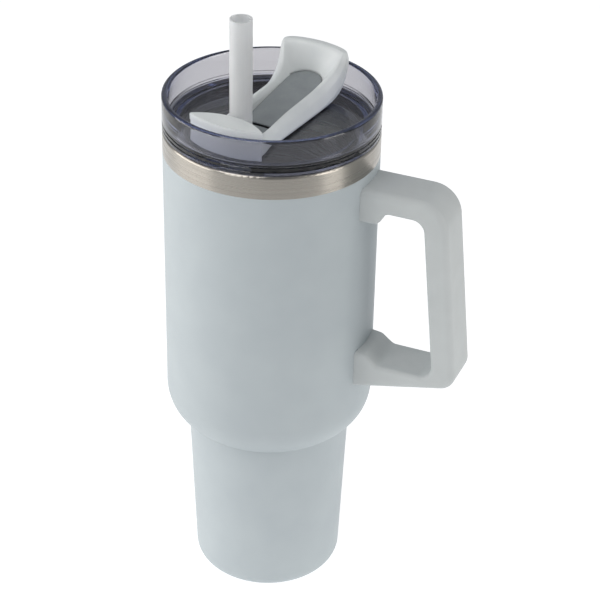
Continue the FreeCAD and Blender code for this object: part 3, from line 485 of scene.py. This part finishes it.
sections = [
    [(-38.4, 8.6, 249.0), (-38.4, 8.7, 250.6), (-38.3, 10.0, 251.3), (-38.2, 11.8, 251.2),
     (-38.0, 14.2, 250.2), (-37.6, 16.2, 248.6), (-37.4, 16.2, 248.0), (-38.2, 8.6, 248.2)],
    rail_section(-36.6, 253.0, 17.0, -0.6),
    rail_section(-34.0, 252.9, 17.2),
    rail_section(-30.0, 252.2, 16.6),
    rail_section(-22.0, 251.7),
    rail_section(-14.0, 252.8),
    rail_section(-6.0, 253.9),
    rail_section(4.0, 254.3),
    rail_section(13.0, 254.5),
    rail_section(20.5, 254.9, lean=2.5),
    [(27.9, 8.45, 253.0), (28.5, 9.2, 255.0), (30.4, 11.6, 258.6), (31.8, 14.6, 259.8),
     (34.1, 16.8, 258.3), (34.8, 17.2, 253.6), (32.8, 16.6, 248.6), (29.4, 9.4, LEVER_LOW + 0.1)],
    [(31.0, 7.9, 253.5), (32.6, 9.4, 256.0), (34.0, 14.8, 265.9), (34.9, 16.6, 267.6),
     (36.9, 17.8, 266.8), (38.3, 17.9, 262.7), (38.2, 17.2, 255.8), (32.0, 10.5, 248.4)],
    [(33.8, 6.0, 254.0), (35.4, 7.4, 256.7), (36.2, 13.6, 267.3), (37.4, 15.2, 268.5),
     (40.0, 16.6, 268.1), (41.1, 16.8, 265.2), (40.6, 15.8, 260.1), (33.0, 7.0, 249.3)],
    [(35.6, 3.2, 254.3), (36.9, 4.0, 257.2), (37.7, 7.4, 267.5), (39.3, 8.2, 268.5),
     (42.5, 9.2, 268.2), (43.7, 9.3, 265.4), (42.3, 8.8, 260.9), (34.2, 3.6, 249.9)],
    [(36.3, 0.0, 254.4), (37.6, 0.0, 257.3), (38.2, 0.0, 267.5), (39.9, 0.0, 268.5),
     (43.5, 0.0, 268.3), (44.6, 0.0, 265.5), (43.1, 0.0, 261.1), (34.8, 0.0, 250.1)]]


def move_to(piece, section):
    """Move the selected ring of points to a section; they stay in their order round the ring."""
    picked = [point for point in piece.data.vertices if point.select]
    for point, target in zip(picked, section):
        point.co = target


deselect()
bpy.ops.mesh.primitive_circle_add(vertices=len(sections[0]), fill_type="NGON")
lever = bpy.context.object
move_to(lever, sections[0])
for section in sections[1:]:
    bpy.ops.object.mode_set(mode="EDIT")
    bpy.ops.mesh.select_mode(type="FACE")
    bpy.ops.mesh.extrude_region_move()
    bpy.ops.object.mode_set(mode="OBJECT")
    move_to(lever, section)
bpy.ops.object.mode_set(mode="EDIT")
bpy.ops.mesh.delete(type="ONLY_FACE")
bpy.ops.object.mode_set(mode="OBJECT")
cage = lever.data
SHARPNESS = (0.9, 0.0, 0.3, 0.45, 0.5, 0.5, 0.7, 0.9)   # of each line along the lever
crease = cage.attributes.new("crease_edge", "FLOAT", "EDGE")
for edge in cage.edges:
    first, second = (index % len(SHARPNESS) for index in edge.vertices)
    if first == second:
        crease.data[edge.index].value = SHARPNESS[first]
other_half = lever.modifiers.new("other_half", "MIRROR")
other_half.use_axis = (False, True, False)
other_half.use_clip = True
bpy.ops.object.modifier_apply(modifier="other_half")
smoothing = lever.modifiers.new("smoothing", "SUBSURF")
smoothing.levels = SMOOTHING_LEVELS
smoothing.render_levels = SMOOTHING_LEVELS
bpy.ops.object.modifier_apply(modifier="smoothing")
bpy.ops.object.mode_set(mode="EDIT")
bpy.ops.mesh.select_all(action="SELECT")
bpy.ops.mesh.normals_make_consistent(inside=False)
bpy.ops.object.mode_set(mode="OBJECT")
bpy.ops.object.shade_smooth()
cage.materials.append(white_plastic)

# The tray joins the rails under the panel.
TRAY_FRONT, TRAY_BACK = -2.5, 33.0
TRAY_DROP, TRAY_LAP, TRAY_ROUNDING = 1.25, 0.4, 0.2   # below the panel, and into each rail
deselect()
bpy.ops.mesh.primitive_cube_add(size=1, location=((TRAY_FRONT + TRAY_BACK) / 2, 0, LEVER_LOW))
tray = bpy.context.object
for point in tray.data.vertices:
    x = TRAY_FRONT if point.co.x < 0 else TRAY_BACK
    height = panel_height(x) - TRAY_DROP if point.co.z > 0 else LEVER_LOW
    point.co = (x, math.copysign(PANEL_HALF_WIDTH + TRAY_LAP, point.co.y), height)
tray.location = (0, 0, 0)
rounding = tray.modifiers.new("rounding", "BEVEL")
rounding.width = TRAY_ROUNDING
rounding.segments = 2
bpy.ops.object.modifier_apply(modifier="rounding")
deselect()
tray.data.materials.append(white_plastic)
tray.select_set(True)
lever.select_set(True)
bpy.context.view_layer.objects.active = lever
bpy.ops.object.join()
finish_piece(lever, "flip_lever", "lever")
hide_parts("lever_frame")

# ---- straw --------------------------------------------------------------------------------------
# Extruded polypropylene tube, unpigmented: frosted and translucent, with faint draw lines along
# its length from the die.

frosted, tree, shader = new_material("frosted_polypropylene", IOR=1.49, Transmission_Weight=0.3,
                                     Subsurface_Weight=0.8, Subsurface_Scale=0.004,
                                     Subsurface_Radius=(1, 1, 1))
place = object_place(tree)
stretched = add_node(tree, "ShaderNodeMapping", {"Scale": (1, 1, 0.02)}, {0: place}).outputs[0]
draw_lines = grain(tree, stretched, 0.8)
two_tones(tree, shader, spread(tree, draw_lines, 0, 1), "#eef1f3", "#f5f7f8")
feed(tree, shader, "Roughness", spread(tree, draw_lines, 0.34, 0.46))
bump(tree, shader, draw_lines, 0.02, 0.2)
dress("straw", frosted)
